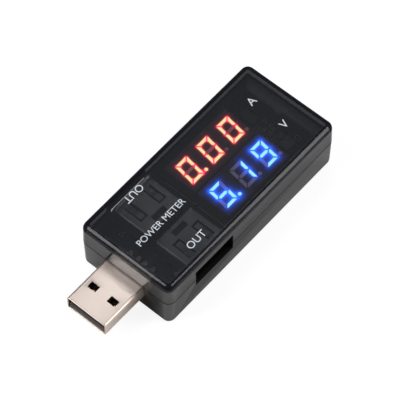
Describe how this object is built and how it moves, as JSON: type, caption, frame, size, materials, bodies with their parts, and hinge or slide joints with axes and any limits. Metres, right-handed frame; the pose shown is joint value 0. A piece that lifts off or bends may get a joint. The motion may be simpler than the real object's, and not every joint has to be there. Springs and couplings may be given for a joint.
{
  "type": "usb power meter",
  "caption": "Pocket USB voltage and current meter: smoked two-part case, USB-A plug at one end, a USB-A port in each long side, red and blue digit displays.",
  "frame": {"origin": "under the middle of the whole object, plug included, on the surface it lies on", "axes": "+X from the plug to the far end, +Y up for someone reading the digits, +Z out of the display face"},
  "size_m": [0.075, 0.0282, 0.0161],
  "materials": {
    "smoke_cover": "gloss smoke-tinted, see-through",
    "smoke_tray": "gloss smoke-tinted",
    "plug_nickel": "nickel plated, slightly warm",
    "port_steel": "plated sheet",
    "contact_gold": "gold plated",
    "black_resin": "matte moulded",
    "board_black": "solder mask",
    "display_face": "black printed face",
    "display_base": "laminate",
    "red_light": "cast resin, lit",
    "blue_light": "cast resin, lit",
    "chip_resin": "moulded resin",
    "resistor_black": "glazed film",
    "ceramic_tan": "fired",
    "tantalum_black": "moulded resin"
  },
  "bodies": {
    "meter": {"blue_display_base": "display_base", "blue_display_housing": "display_face", "blue_display_lights": "blue_light", "chip_capacitor_1": "ceramic_tan", "chip_capacitor_2": "ceramic_tan", "chip_capacitor_3": "ceramic_tan", "chip_capacitor_4": "ceramic_tan", "chip_resistor_1": "resistor_black", "chip_resistor_2": "resistor_black", "chip_resistor_3": "resistor_black", "chip_resistor_4": "resistor_black", "chip_resistor_5": "resistor_black", "chip_resistor_6": "resistor_black", "circuit_board": "board_black", "current_shunt": "resistor_black", "input_capacitor": "tantalum_black", "left_port_insulator": "black_resin", "left_port_shell": "port_steel", "left_port_tail_dminus": "contact_gold", "left_port_tail_dplus": "contact_gold", "left_port_tail_ground": "contact_gold", "left_port_tail_vbus": "contact_gold", "lower_shell": "smoke_tray", "microcontroller": "chip_resin", "plug_contact_dminus": "contact_gold", "plug_contact_dplus": "contact_gold", "plug_contact_ground": "contact_gold", "plug_contact_vbus": "contact_gold", "plug_insulator": "black_resin", "plug_shell": "plug_nickel", "red_display_base": "display_base", "red_display_housing": "display_face", "red_display_lights": "red_light", "right_port_insulator": "black_resin", "right_port_shell": "port_steel", "right_port_tail_dminus": "contact_gold", "right_port_tail_dplus": "contact_gold", "right_port_tail_ground": "contact_gold", "right_port_tail_vbus": "contact_gold", "upper_shell": "smoke_cover", "voltage_regulator": "chip_resin"},
    "right_port_contacts": {"right_port_leaf_dminus": "contact_gold", "right_port_leaf_dplus": "contact_gold", "right_port_leaf_ground": "contact_gold", "right_port_leaf_vbus": "contact_gold"},
    "left_port_contacts": {"left_port_leaf_dminus": "contact_gold", "left_port_leaf_dplus": "contact_gold", "left_port_leaf_ground": "contact_gold", "left_port_leaf_vbus": "contact_gold"}
  },
  "joints": [
    {"name": "right_port_contact_flex", "type": "hinge", "parent": "meter", "child": "right_port_contacts", "pos_m": [-0.00765, -0.0034, 0.01035], "axis": [-1, 0, 0], "range_deg": [0, 4.5], "stiffness_Nm_per_rad": 0.4},
    {"name": "left_port_contact_flex", "type": "hinge", "parent": "meter", "child": "left_port_contacts", "pos_m": [-0.00765, 0.0034, 0.01035], "axis": [1, 0, 0], "range_deg": [0, 4.5], "stiffness_Nm_per_rad": 0.4}
  ]
}
